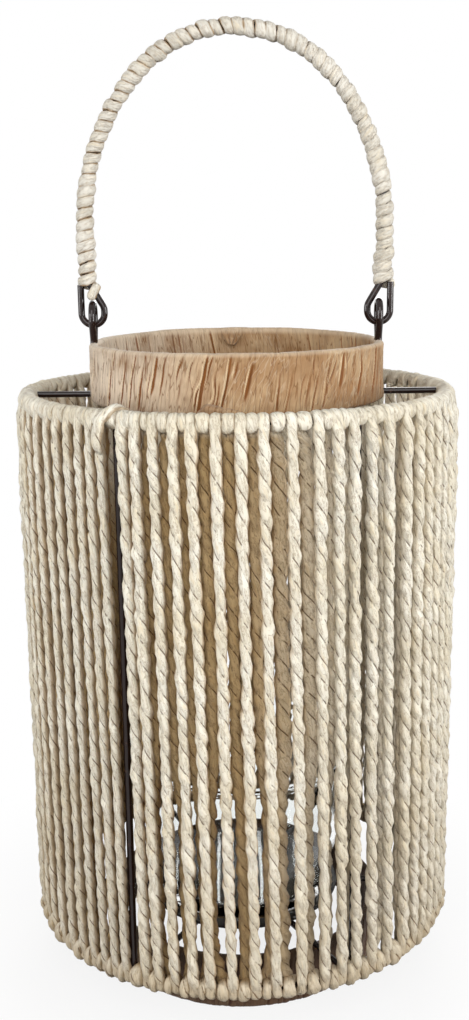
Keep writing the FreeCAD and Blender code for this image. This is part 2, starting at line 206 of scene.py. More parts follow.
deselect()
bpy.ops.mesh.primitive_plane_add(size=FLOOR_SIDE)
floor = bpy.context.object
floor.name = "floor"
paint = bpy.data.materials.new("floor_paint")
paint.use_nodes = True
floor.data.materials.append(paint)
surface = Value(paint.node_tree)
matt = paint.node_tree.nodes["Principled BSDF"]
matt.inputs["Roughness"].default_value = 0.9
matt.inputs["Specular IOR Level"].default_value = 0.1
where = surface.node("TexCoord", output="Object")
distance = surface.node("VectorMath", {"operation": "LENGTH"}, {0: where}, "Value")
shadow = (1 - distance.between(SHADOW_REACH / 3, SHADOW_REACH)) * SHADOW_SHARE
white = surface.node("Emission", inputs={"Strength": 1.0})
seen = seen_directly(surface)
seen.mix(FLOOR_BOUNCE, FLOOR_SEEN).feed(matt, "Base Color")
share = seen * (1 - shadow)
lit = Value(paint.node_tree, matt.outputs["BSDF"])
both = surface.node("MixShader", inputs={0: share, 1: lit, 2: white})
both.feed(paint.node_tree.nodes["Material Output"], "Surface")


# Wire frame
# Rings, struts, spokes, collar hoops, eyes and the handle are mild steel wire, cut, bent and spot
# welded, then dipped in dark bronze lacquer. The lacquer is satin and rubs thin on the high spots.
def finish(name, **constants):
    """A new material with one Principled shader, and a start for its nodes."""
    made = bpy.data.materials.new(name)
    made.use_nodes = True
    shader = made.node_tree.nodes["Principled BSDF"]
    for socket, given in constants.items():
        shader.inputs[socket.replace("_", " ")].default_value = given
    return made, shader, Value(made.node_tree)


def noise(start, where, scale, detail=3.0, roughness=0.55):
    """Soft random values from 0 to 1."""
    sockets = {"Vector": where, "Scale": scale, "Detail": detail, "Roughness": roughness}
    return start.node("TexNoise", None, sockets)


def bump(shader, start, height, depth, strength=1.0):
    """Relief of a depth in metres on a shader."""
    sockets = {"Height": height, "Distance": depth, "Strength": strength}
    start.node("Bump", None, sockets).feed(shader, "Normal")


def dress(node, material):
    """Give a CAD node a material all over."""
    mesh = frame["nodes"][node].data
    mesh.materials.clear()
    mesh.materials.append(material)


lacquer, shader, start = finish("bronze_lacquer", Specular_IOR_Level=0.36)
where = start.node("TexCoord", output="Object")
worn = noise(start, where, 190.0, 4.0).between(0.58, 0.78)
patchy = noise(start, where, 45.0)
dark = patchy.mix(tint(22, 12, 10), tint(38, 22, 19))
(worn * 0.5).mix(dark, tint(88, 60, 48)).feed(shader, "Base Color")
(0.09 + patchy * 0.07 + worn * 0.2).feed(shader, "Roughness")
bump(shader, start, noise(start, where, 900.0, 2.0), 0.05 * mm, 0.5)

wire_nodes = [row["node"] for row in frame["record"]["subparts"] if row["material_slot"] == "wire"]
for node in wire_nodes:
    dress(node, lacquer)


# Candle plate
# A stamped disc of thin sheet steel in the same dark lacquer, laid on the bottom spokes. Faint rings
# from the spinning lathe and a dusting of old wax dull it.
plate_coat, shader, start = finish("plate_lacquer", Metallic=0.45)
where = start.node("TexCoord", output="Object")
rings = start.node(
    "TexWave",
    {"wave_type": "RINGS", "rings_direction": "Z"},
    {"Vector": where, "Scale": 260.0, "Distortion": 0.6},
)
wax = noise(start, where, 38.0, 5.0).between(0.5, 0.8)
(wax * 0.35).mix(tint(30, 25, 24), tint(70, 62, 57)).feed(shader, "Base Color")
(0.36 + wax * 0.3).feed(shader, "Roughness")
bump(shader, start, rings, 0.04 * mm, 0.4)
dress("candle_plate", plate_coat)


# Glass cup
# A clear flared tumbler, pressed and fire polished, with a thick base and one bead below the rim. It
# stands loose on the plate and lifts out through the collar. Its walls are faintly dusty.
CUP_WALL = 3.0 * mm
CUP_BASE = 6.0 * mm
CUP_FOOT_RADIUS = 50.0 * mm
CUP_FOOT_ROUND = 5.0 * mm
CUP_WELL_ROUND = 6.0 * mm
BEAD_DROP = 25.0 * mm
BEAD_HALF = 2.4 * mm
BEAD_PROUD = 1.3 * mm
CUP_STEPS = 128
ROUND_STEPS = 8
SAME_PLACE = 1e-6


def split_edges(piece, cuts, wanted):
    """Cut each edge whose two ends pass a test into shorter ones, on a piece that is being edited."""
    bpy.ops.mesh.select_mode(type="EDGE")
    bpy.ops.mesh.select_all(action="DESELECT")
    bpy.ops.object.mode_set(mode="OBJECT")
    for edge in piece.data.edges:
        near, far = (piece.data.vertices[index].co for index in edge.vertices)
        edge.select = wanted(near, far)
    bpy.ops.object.mode_set(mode="EDIT")
    bpy.ops.mesh.subdivide(number_cuts=cuts)
    bpy.ops.mesh.select_mode(type="VERT")


def turned(name, outline, bends, steps, cuts=0):
    """A vessel or band spun about Z from a closed outline of (radius, height), with its corners bent
    round and its upright stretches cut into shorter ones."""
    deselect()
    bpy.ops.mesh.primitive_circle_add(vertices=len(outline), radius=1)
    piece = bpy.context.object
    piece.name = name
    for corner, (radius, height) in zip(piece.data.vertices, outline):
        corner.co = (radius, 0, height)
    bpy.ops.object.mode_set(mode="EDIT")
    for (radius, height), bend in reversed(list(zip(outline, bends))):
        if bend:
            bpy.ops.mesh.select_all(action="DESELECT")
            bpy.ops.object.mode_set(mode="OBJECT")
            for corner in piece.data.vertices:
                corner.select = math.dist(corner.co, (radius, 0, height)) < SAME_PLACE
            bpy.ops.object.mode_set(mode="EDIT")
            bpy.ops.mesh.bevel(offset=bend, segments=ROUND_STEPS, affect="VERTICES")
    if cuts:
        split_edges(piece, cuts, lambda near, far: abs(near.z - far.z) > max(bends))
    bpy.ops.mesh.select_all(action="SELECT")
    bpy.ops.mesh.spin(steps=steps, angle=math.tau, center=(0, 0, 0), axis=(0, 0, 1))
    bpy.ops.mesh.select_all(action="SELECT")
    bpy.ops.mesh.remove_doubles(threshold=SAME_PLACE)
    bpy.ops.mesh.select_all(action="SELECT")
    bpy.ops.mesh.delete_loose(use_verts=True, use_edges=True, use_faces=False)
    bpy.ops.mesh.select_all(action="SELECT")
    bpy.ops.mesh.normals_make_consistent(inside=False)
    bpy.ops.object.mode_set(mode="OBJECT")
    return piece


cup_low, cup_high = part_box("glass_cup")
rim_radius = cup_high.y
flare = (rim_radius - CUP_FOOT_RADIUS) / (cup_high.z - cup_low.z)
bead_z = cup_high.z - BEAD_DROP
bead_radius = rim_radius - flare * BEAD_DROP
cup_outline = [
    (0, cup_low.z),
    (CUP_FOOT_RADIUS, cup_low.z),
    (bead_radius - flare * BEAD_HALF, bead_z - BEAD_HALF),
    (bead_radius + BEAD_PROUD, bead_z),
    (bead_radius + flare * BEAD_HALF, bead_z + BEAD_HALF),
    (rim_radius, cup_high.z),
    (rim_radius - CUP_WALL, cup_high.z),
    (CUP_FOOT_RADIUS - CUP_WALL + flare * CUP_BASE, cup_low.z + CUP_BASE),
    (0, cup_low.z + CUP_BASE),
]
bead_bend = BEAD_HALF * 0.4
rim_bend = CUP_WALL * 0.45
cup_bends = [0, CUP_FOOT_ROUND, bead_bend, bead_bend, bead_bend, rim_bend, rim_bend, CUP_WELL_ROUND, 0]
cup = turned("tumbler", cup_outline, cup_bends, CUP_STEPS)
bpy.ops.object.shade_smooth()

glass, shader, start = finish("clear_glass", IOR=1.2, Transmission_Weight=1.0, Coat_Weight=0.3)
shader.inputs["Base Color"].default_value = tint(251, 253, 252)
where = start.node("TexCoord", output="Object")
dust = noise(start, where, 70.0, 5.0).between(0.45, 0.85)
(dust * 0.09 + 0.01).feed(shader, "Roughness")
cup.data.materials.append(glass)
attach(cup, "cup")
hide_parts("glass_cup")


# Raffia collars
# A wide ribbon of tan raffia is wound round each collar's two wire hoops, turn over turn. Every turn
# leans a little and laps the one before, so the band shows creased strips with deep narrow folds.
COLLAR_STEPS = 120
COLLAR_SPLITS = 9
COLLAR_ROUND = 2.1 * mm
COLLAR_CUTS = 22
STRIP_LEAN = 0.22
LAP_STEP = 0.55 * mm
CRUMPLE = 0.3 * mm
BIG_FOLDS = dict(spacing=7.0 * mm, deepest=1.7 * mm, widths=(0.4 * mm, 1.0 * mm), reaches=(0.3, 0.9))
SMALL_FOLDS = dict(spacing=3.0 * mm, deepest=0.9 * mm, widths=(0.3 * mm, 0.6 * mm), reaches=(0.15, 0.5))
RIDGE_GAP = 0.85 * mm
RIDGE_SPREAD = 0.32 * mm
RIDGE_SHARE = 0.3
CRUMPLED_SIDE = 0.68
INNER_SHARE = 0.7
RIM_CALM = 3.2 * mm
RIBBON_SINK = 0.25 * mm
WIRE_COVER = 0.1 * mm
BACK_RISE = 1.6 * mm
RIM_WAVE = 0.15 * mm
TAN_DARK = tint(154, 117, 79)
TAN_LIGHT = tint(194, 164, 126)
# Colours of painted light, shade and highlights follow; only the fibre brown is the ribbon's own.
LEFT_LIT_TAN = tint(226, 210, 189)
FIBRE_BROWN = tint(138, 98, 60)
LINE_SHADE_BROWN = tint(118, 78, 36)
FOLD_SHADE_BROWN = tint(122, 73, 28)
GLINT_CREAM = tint(236, 220, 194)
RIDGE_HIGHLIGHT_CREAM = tint(230, 206, 168)
RIM_HIGHLIGHT_CREAM = tint(226, 208, 182)


def smooth(values, low, high):
    """0 below low, 1 above high, and an even S between them."""
    share = np.clip((values - low) / (high - low), 0, 1)
    return share * share * (3 - 2 * share)


def grid_noise(draw, along, across, columns, rows):
    """Smooth random values at shares along and across a closed band, from a grid of random ones."""
    table = draw.normal(size=(rows, columns))
    step_along = along * columns
    step_across = np.clip(across, 0, 0.9999) * (rows - 1)
    column = np.floor(step_along).astype(int)
    row = np.floor(step_across).astype(int)
    ahead = smooth(step_along - column, 0, 1)
    upward = smooth(step_across - row, 0, 1)
    here = column % columns
    following = (column + 1) % columns
    low = table[row, here] * (1 - ahead) + table[row, following] * ahead
    high = table[row + 1, here] * (1 - ahead) + table[row + 1, following] * ahead
    return low * (1 - upward) + high * upward


def folds_of(draw, girth, turn, height, spacing, deepest, widths, reaches):
    """Depth of one family of spindle shaped folds at places on a band, the ridges beside them, and the
    strip between two folds that a place lies in, with its share of that strip."""
    count = round(girth / spacing)
    gaps = draw.uniform(0.35, 1.7, count)
    edges = np.concatenate([[0], np.cumsum(gaps / gaps.sum())])
    depth = deepest * draw.uniform(0.2, 1, count) ** 1.5
    width = draw.uniform(*widths, count)
    middle = draw.uniform(0.15, 0.85, count)
    reach = draw.uniform(*reaches, count)
    strip = np.clip(np.searchsorted(edges, turn, side="right") - 1, 0, count - 1)
    before = (turn - edges[strip]) * girth
    after = (edges[strip + 1] - turn) * girth

    def fold(index, gap, spread):
        spindle = np.clip(1 - ((height - middle[index]) / reach[index]) ** 2, 0, 1)
        return depth[index] * spindle * np.exp(-((gap / spread) ** 2))

    following = (strip + 1) % count
    depths = fold(strip, before, width[strip] * 1.2) + fold(following, after, width[following] * 0.5)
    ridges = fold(following, after - RIDGE_GAP, RIDGE_SPREAD)
    return depths, ridges, strip, before / (before + after)


def raffia_relief(draw, girth, around, height, lean):
    """Height of the ribbon's face and depth of its folds at places round the band, both in metres.
    Beside a fold the ribbon stands up in a ridge, which counts as a fold below nothing."""
    turn = around + lean / girth
    turn = (turn + grid_noise(draw, around, height, 60, 3) * 0.0005) % 1
    big, big_ridge, strip, share = folds_of(draw, girth, turn, height, **BIG_FOLDS)
    askew = (turn + grid_noise(draw, around, height, 110, 4) * 0.0018) % 1
    small, small_ridge, _, _ = folds_of(draw, girth, askew, height, **SMALL_FOLDS)
    front_left = np.cos((around - CRUMPLED_SIDE) * math.tau)
    busy = np.clip(0.6 + 0.45 * front_left + 0.4 * grid_noise(draw, around, height, 26, 3), 0.15, 1.4)
    lap = LAP_STEP * (0.5 - share) * draw.uniform(0.3, 1.4, strip.max() + 1)[strip]
    fine = grid_noise(draw, askew, height, 280, 10) * 0.6 + grid_noise(draw, askew, height, 120, 6)
    crumple = CRUMPLE * busy * fine
    folds = big + small * busy
    ridges = big_ridge + small_ridge * busy
    return lap + crumple - folds + RIDGE_SHARE * ridges, folds - ridges


def raffia_finish(name, shade_tint, rim_z):
    """Tan ribbon with lengthwise fibres and painted light and shade: paler towards the left where light
    falls from the front left, painted shade in its folds and crease lines, and painted highlights on the
    ridges beside the folds, in glint lines and along its upper rim. A shade tint multiplies it all."""
    made, shader, start = finish(name, Specular_IOR_Level=0.25, Sheen_Weight=0.15)
    grain = start.node("UVMap", {"uv_map": "ribbon"})
    stretched = start.node("Mapping", None, {"Vector": grain, "Scale": (1900.0, 90.0, 1.0)})
    fibre = noise(start, stretched, 1.0, 4.0, 0.6)

    def creases(slant, scale, reach):
        """Thin crooked lines that run up the ribbon at a slant, and the relief they belong to."""
        settings = {"Vector": grain, "Rotation": (0, 0, slant), "Scale": scale}
        laid = start.node("Mapping", {"vector_type": "TEXTURE"}, settings)
        relief = noise(start, laid, 1.0, 1.2)
        return 1 - (relief - 0.5).absolute().between(0.0, reach), relief

    where = start.node("TexCoord", output="Object")
    line, wrinkle = creases(0.1, (2.4 * mm, 20 * mm, 1.0), 0.03)
    glint, pucker = creases(-0.25, (3.0 * mm, 12 * mm, 1.0), 0.04)
    glint = glint * noise(start, where, 42.0).between(0.4, 0.58)
    blotch = noise(start, where, 55.0, 4.0)
    deep = start.node("Attribute", {"attribute_name": "fold"}, output="Fac")
    tan = blotch.between(0.3, 0.72).mix(TAN_DARK, TAN_LIGHT)
    # Painted light: the ribbon is paler towards the left, where the light falls from the front left.
    left_lit = 1 - where.part("X").between(-75 * mm, 5 * mm)
    face = (left_lit * blotch.between(0.15, 0.55) * 0.9).mix(tan, LEFT_LIT_TAN)
    streaked = (fibre.between(0.42, 0.75) * 0.32).mix(face, FIBRE_BROWN)
    # Painted shade darkens the thin crease lines.
    lined = (line * 0.7).mix(streaked, LINE_SHADE_BROWN)
    lighter = (glint * 0.25).mix(lined, GLINT_CREAM)
    # Painted highlight on the ridges beside the folds.
    ridged = ((0 - deep).between(0.1, 0.9) * 0.7).mix(lighter, RIDGE_HIGHLIGHT_CREAM)
    # Painted shade in the folds, darker the deeper they are.
    folded = deep.between(0.03, 0.65).mix(ridged, FOLD_SHADE_BROWN)
    # Painted highlight along the upper rim.
    rim_lit = (where.part("Z").between(rim_z - 2.6 * mm, rim_z) * 0.45).mix(folded, RIM_HIGHLIGHT_CREAM)
    # The shade tint paints shade over the whole ribbon; it is white on the top collar.
    rim_lit.multiplied_by(shade_tint).feed(shader, "Base Color")
    (0.62 + fibre * 0.2).feed(shader, "Roughness")
    relief = fibre * 0.15 + wrinkle * 0.9 + pucker * 0.8 - line * 0.15 + glint * 0.15
    bump(shader, start, relief, 0.9 * mm, 0.9)
    return made


def level_round(near, far):
    """Whether two points lie at one height and one distance from the axis."""
    return abs(near.z - far.z) < SAME_PLACE and abs(near.xy.length - far.xy.length) < SAME_PLACE


def all_of(items, name, width=3, kind=np.float64):
    """One property of all of a mesh's points, corners or faces, with a row for each."""
    values = np.empty(len(items) * width, dtype=kind)
    items.foreach_get(name, values)
    return values.reshape(-1, width).squeeze()


def keep_value(mesh, name, values):
    """Store one number for each point of a mesh, for its material to read."""
    layer = mesh.attributes.new(name, "FLOAT", "POINT")
    layer.data.foreach_set("value", values.astype(np.float32).ravel())


def keep_chart(mesh, name, chart):
    """Store a UV map, given by a row for each corner of each face."""
    layer = mesh.uv_layers.new(name=name)
    layer.data.foreach_set("uv", chart.astype(np.float32).ravel())


raffias = {}
collars = (
    # collar, finish, painted shade tint, seed
    ("top_collar", "tan_raffia", tint(255, 255, 255), 3),
    # The foot collar's tint is painted shade.
    ("foot_collar", "shaded_raffia", tint(120, 109, 102), 8),
)
for name, coat, shade_tint, seed in collars:
    low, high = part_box(f"{name}_wrap")
    hoop_low, hoop_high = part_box(f"{name}_upper_hoop")
    raffias[name] = raffia_finish(coat, shade_tint, high.z)
    draw = np.random.default_rng(seed)
    collar_radius = high.y
    collar_height = high.z - low.z
    collar_bore = 2 * (hoop_high.y - (hoop_high.z - hoop_low.z) / 2) - collar_radius
    girth = math.tau * collar_radius
    outline = [
        (collar_bore, low.z),
        (collar_radius, low.z),
        (collar_radius, high.z),
        (collar_bore, high.z),
    ]
    band = turned(f"{name}_ribbon", outline, [COLLAR_ROUND] * len(outline), COLLAR_STEPS, COLLAR_CUTS)
    bpy.ops.object.mode_set(mode="EDIT")
    split_edges(band, COLLAR_SPLITS, level_round)
    bpy.ops.object.mode_set(mode="OBJECT")
    bpy.ops.object.shade_smooth()
    mesh = band.data
    place = all_of(mesh.vertices, "co")
    normals = all_of(mesh.vertex_normals, "vector")
    around = np.arctan2(place[:, 1], place[:, 0]) / math.tau % 1
    height = (place[:, 2] - low.z) / collar_height
    lean = STRIP_LEAN * (0.5 - height) * collar_height
    outer_face, outer_folds = raffia_relief(draw, girth, around, height, lean)
    inner_face, inner_folds = raffia_relief(draw, girth, around, height, lean)
    inside = np.hypot(place[:, 0], place[:, 1]) < (collar_radius + collar_bore) / 2
    face = np.where(inside, inner_face * INNER_SHARE, outer_face)
    folds = np.where(inside, inner_folds * INNER_SHARE, outer_folds)
    # The folds calm down at the rims, and none is so deep that the wire inside shows through
    rim = np.minimum(height, 1 - height) * collar_height
    calm = np.clip(0.25 + 0.75 * rim / RIM_CALM, 0, 1)
    deepest = WIRE_COVER - (collar_radius - hoop_high.y)
    place += normals * np.maximum((face - RIBBON_SINK) * calm, deepest)[:, None]
    place[:, 2] = np.clip(place[:, 2], low.z, high.z)
    if name == "top_collar":
        wavy = RIM_WAVE * grid_noise(draw, around, np.zeros_like(around), 44, 2)
        place[:, 2] += wavy * np.clip(height, 0, 1) ** 6
        place[:, 2] += BACK_RISE * height**2 * np.clip(np.sin(around * math.tau), 0, 1)
    mesh.vertices.foreach_set("co", place.ravel())
    # Fold depth less the ridges beside the folds, for the painted shade in folds and painted highlights on
    # ridges.
    keep_value(mesh, "fold", folds * calm / mm)
    # Metres round the band and up it. A face across the end of a turn takes its first corner's turn.
    corners = all_of(mesh.loops, "vertex_index", 1, np.int32)
    first = all_of(mesh.polygons, "loop_start", 1, np.int32)
    owner = np.repeat(np.arange(len(first)), all_of(mesh.polygons, "loop_total", 1, np.int32))
    turn = around[corners]
    turn = turn + np.round(turn[first][owner] - turn)
    keep_chart(mesh, "ribbon", np.column_stack([turn * girth + lean[corners], place[corners, 2]]))
    mesh.update()
    mesh.materials.append(raffias[name])
    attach(band, "frame")
    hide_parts(f"{name}_wrap")


# Loose raffia
# The ribbon's ends are not trimmed. A slack turn stands proud of the top collar's lower edge at the
# front, and at the back the other end is tucked in as a small tongue inside the rim.
RIBBON = 0.7 * mm
FRONT = 270
SLACK_START = -14
SLACK_SWEEP = 17.5
SLACK_PEAK = 0.2
SLACK_RIDGE = 0.4
SLACK_ROOT = 0.4 * mm
SLACK_PROUD = 4.0 * mm
SLACK_BASE = 2.1 * mm
SLACK_RISE = 4.0 * mm
SLACK_DIP = 0.9 * mm
SLACK_UNDER = 1.5 * mm
TONGUE_HALF = 5.6 * mm
TONGUE_FALL = 8.2 * mm
TONGUE_ASIDE = 2.4 * mm
TONGUE_ROOT = 0.3 * mm
TONGUE_PLEAT = 0.8 * mm
TONGUE_LIFT = 2.6 * mm
TONGUE_CURL = 1.1 * mm
collar_low, collar_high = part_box("top_collar_wrap")


def ribbon_patch(name, shape, columns, rows, length, width):
    """A small piece of ribbon: a grid whose points a function of two shares puts in place."""
    deselect()
    bpy.ops.mesh.primitive_grid_add(x_subdivisions=columns, y_subdivisions=rows, size=1)
    patch = bpy.context.object
    patch.name = name
    for point in patch.data.vertices:
        point.co = shape(point.co.x + 0.5, point.co.y + 0.5)
    layer = patch.data.uv_layers.active
    layer.name = "ribbon"
    for corner in layer.data:
        corner.uv = (corner.uv[0] * length, corner.uv[1] * width)
    sheet = patch.modifiers.new("ribbon_sheet", "SOLIDIFY")
    sheet.thickness = RIBBON
    sheet.offset = 0
    bpy.ops.object.modifier_apply(modifier=sheet.name)
    bpy.ops.object.shade_smooth()
    patch.data.materials.append(raffias["top_collar"])
    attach(patch, "frame")


def slack_turn(along, across):
    """From the collar's face out over a ridge and down under the lower edge, highest near the left."""
    bearing = math.radians(FRONT + SLACK_START + SLACK_SWEEP * along)
    rise = min(along / SLACK_PEAK, (1 - along) / (1 - SLACK_PEAK))
    crest = collar_low.z + SLACK_BASE + SLACK_RISE * rise
    if across < SLACK_RIDGE:
        proud = math.sin(math.pi / 2 * across / SLACK_RIDGE)
        height = crest - SLACK_DIP * across / SLACK_RIDGE
    else:
        down = (across - SLACK_RIDGE) / (1 - SLACK_RIDGE)
        proud = 1 - 0.6 * down
        height = crest - SLACK_DIP + (collar_low.z - SLACK_UNDER - crest) * down
    reach = collar_high.y - SLACK_ROOT + SLACK_PROUD * rise**0.7 * proud
    return reach * math.cos(bearing), reach * math.sin(bearing), height


def tucked_tongue(along, across):
    """Hangs pleated from the rim inside the back of the collar and narrows to a tip off the wall."""
    middle = 2 * along - 1
    half = TONGUE_HALF * (1 - 0.7 * across**2)
    pleat = TONGUE_PLEAT * (1 + math.sin(9 * middle + 3 * across)) * min(1, 3 * across)
    off = TONGUE_ROOT + TONGUE_LIFT * across**1.5 - TONGUE_CURL * middle**2 * across + pleat
    height = collar_high.z + TONGUE_ROOT - TONGUE_FALL * across
    return middle * half - TONGUE_ASIDE, collar_bore - off, height


ribbon_patch("slack_ribbon", slack_turn, 28, 10, 24 * mm, 9 * mm)
ribbon_patch("tucked_ribbon", tucked_tongue, 28, 14, 11 * mm, 8 * mm)


# Cage cord
# Two plies of cream paper yarn are laid into a soft cord and wound up the outside of the cage, over the
# top ring, down the inside and under the bottom ring. At each ring the cord takes one more turn round
# the wire as a spacer before it runs on, and there it is pressed flat.
CORD_HALF = 2.95 * mm
SLIM_HALF = 2.5 * mm
FLAT_HALF = 1.45 * mm
FLAT_WIDE = 2.9 * mm
CORD_LAY = 20.5 * mm
LAY_UNEVEN = 0.1
PLY_SPREAD = 0.21
PLY_UNEVEN = 0.09
ROUGHNESS = 0.02
BEAD = 5 * mm
SWELL = 0.07
CORD_SIDES = 16
RUN_STEPS = 176
WRAP_STEPS = 27
WRAP_TURN = 540
EASE = 14 * mm
CORD_LEAN = 2.4
RUN_OFFSET = 3.5 * mm
CLOSE_OFFSET = 0.8 * mm
STRUT_OFFSET = 4.8 * mm
SPACER_LAP = 0.8 * mm
SPACER_HALVES = (2.0 * mm, 3.6 * mm)
FILL_LAP = 1.6 * mm
FULLEST = 1.3
SLIPS = (0.9, 2)
CLOSE_BAY = 5
OPEN_STRUT = 240
SIGHT_LIMIT = 52
FRONT_SIGHT = 1.2
BACK_SIGHT = 0.85
LOOPS_PER_HANK = 6
CAGE_CREAMS = (tint(236, 227, 205), tint(248, 243, 228))
# Colours of painted shade.
PLEAT_SHADE = tint(216, 193, 150)
PLEAT_SHADE_LINE = tint(172, 140, 90)
SIDE_SHADE_TAN = tint(162, 122, 64)
LOW_SHADE_TAN = tint(178, 156, 122)
CREASE_SHADE_BROWN = tint(108, 76, 42)
INSIDE_SHADE_TAN = tint(208, 184, 146)
# Degrees from a strut to each cord of the bay after it, at the top ring
BAY_TURN = 60
LEFT_BAY = (3, 8.5, 14, 20.2, 25.6, 31, 36.3, 41, 45.4, 49.4, 53, 56.4)
FRONT_BAY = (2.5, 6, 10.4, 15.2, 19.4, 25, 30.7, 35.9, 42.4, 48.7, 53.5, 57.8)
RIGHT_BAY = (2.8, 8.2, 14.5, 19.6, 24.1, 29, 34, 39, 44, 49, 53.4, 57.4)
BAYS = (LEFT_BAY, RIGHT_BAY, FRONT_BAY, LEFT_BAY, FRONT_BAY, RIGHT_BAY)

ring_low, ring_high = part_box("top_ring")
ring_wire = ring_high.z - ring_low.z
ring_radius = ring_high.y - ring_wire / 2
top_z = (ring_low.z + ring_high.z) / 2
bottom_z = sum(corner.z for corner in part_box("bottom_ring")) / 2
wrap_offset = ring_wire / 2 + FLAT_HALF

tops = [BAY_TURN * bay + offset for bay, offsets in enumerate(BAYS) for offset in offsets]
tops.append(tops[0] + 360)
inners = [(here + there) / 2 for here, there in zip(tops, tops[1:])]
inners.insert(0, inners[-1] - 360)
pitch = 360 / (len(tops) - 1)
draw = np.random.default_rng(21)


def tube(name, rings, along, sidewards):
    """A closed tube through rings of points, with a UV map of metres along it and shares of a turn round
    it. Each point keeps how far it looks sidewards."""
    count, sides = rings.shape[:2]
    ring, side = np.meshgrid(np.arange(count - 1), np.arange(sides), indexing="ij")
    beside = (side + 1) % sides
    near = ring * sides
    far = near + sides
    quads = np.stack([near + side, near + beside, far + beside, far + side], axis=-1).reshape(-1, 4)
    caps = [list(range(sides))[::-1], list(range((count - 1) * sides, count * sides))]
    mesh = bpy.data.meshes.new(name)
    mesh.from_pydata(rings.reshape(-1, 3).tolist(), [], quads.tolist() + caps)
    metres = np.stack([along[ring], along[ring], along[ring + 1], along[ring + 1]], axis=-1)
    shares = np.stack([side, side + 1, side + 1, side], axis=-1) / sides
    chart = np.stack([metres, shares], axis=-1).reshape(-1, 2)
    keep_chart(mesh, "lay", np.concatenate([chart, np.zeros((2 * sides, 2))]))
    keep_value(mesh, "side", sidewards)
    mesh.polygons.foreach_set("use_smooth", np.ones(len(mesh.polygons), dtype=bool))
    mesh.update()
    piece = bpy.data.objects.new(name, mesh)
    bpy.context.scene.collection.objects.link(piece)
    return piece


def uneven(along, every):
    """Random values at marks a given length apart, and straight lines between them."""
    marks = np.arange(0, along[-1] + every, every)
    return np.interp(along, marks, draw.normal(size=len(marks)))


def cord_mesh(name, centre, away, wide, thick, crease, sides):
    """A two-ply cord along points. Away faces off its core, wide and thick are half sizes, and crease
    is the depth of the groove between the plies, up to 1."""
    step = np.linalg.norm(np.diff(centre, axis=0), axis=1)
    along = np.concatenate([[0], np.cumsum(step)])
    tangent = np.gradient(centre, axis=0)
    tangent /= np.linalg.norm(tangent, axis=1)[:, None]
    away = away - tangent * np.sum(away * tangent, axis=1)[:, None]
    away /= np.linalg.norm(away, axis=1)[:, None]
    across = np.cross(tangent, away)
    lay = CORD_LAY * (1 + LAY_UNEVEN * uneven(along, CORD_LAY))
    twist = -np.concatenate([[0], np.cumsum(step / lay[1:])]) * math.tau + draw.uniform(0, math.tau)
    angle = np.arange(sides) * math.tau / sides
    spread = PLY_SPREAD * crease[:, None]
    ply = 1 - spread
    radius = spread * np.abs(np.cos(angle)) + np.sqrt(ply**2 - (spread * np.sin(angle)) ** 2)
    one_ply = uneven(along, BEAD)[:, None]
    other_ply = uneven(along, BEAD)[:, None]
    radius *= 1 + PLY_UNEVEN * np.where(np.cos(angle) > 0, one_ply, other_ply)
    grit = draw.normal(size=(len(centre) + 2, sides))
    radius *= 1 + ROUGHNESS * (grit[:-2] + 1.4 * grit[1:-1] + grit[2:])
    turned_by = angle[None, :] + twist[:, None]
    out = (radius * np.cos(turned_by) * thick[:, None])[:, :, None] * away[:, None, :]
    aside = (radius * np.sin(turned_by) * wide[:, None])[:, :, None] * across[:, None, :]
    return tube(name, centre[:, None, :] + out + aside, along, np.abs(np.sin(turned_by)))


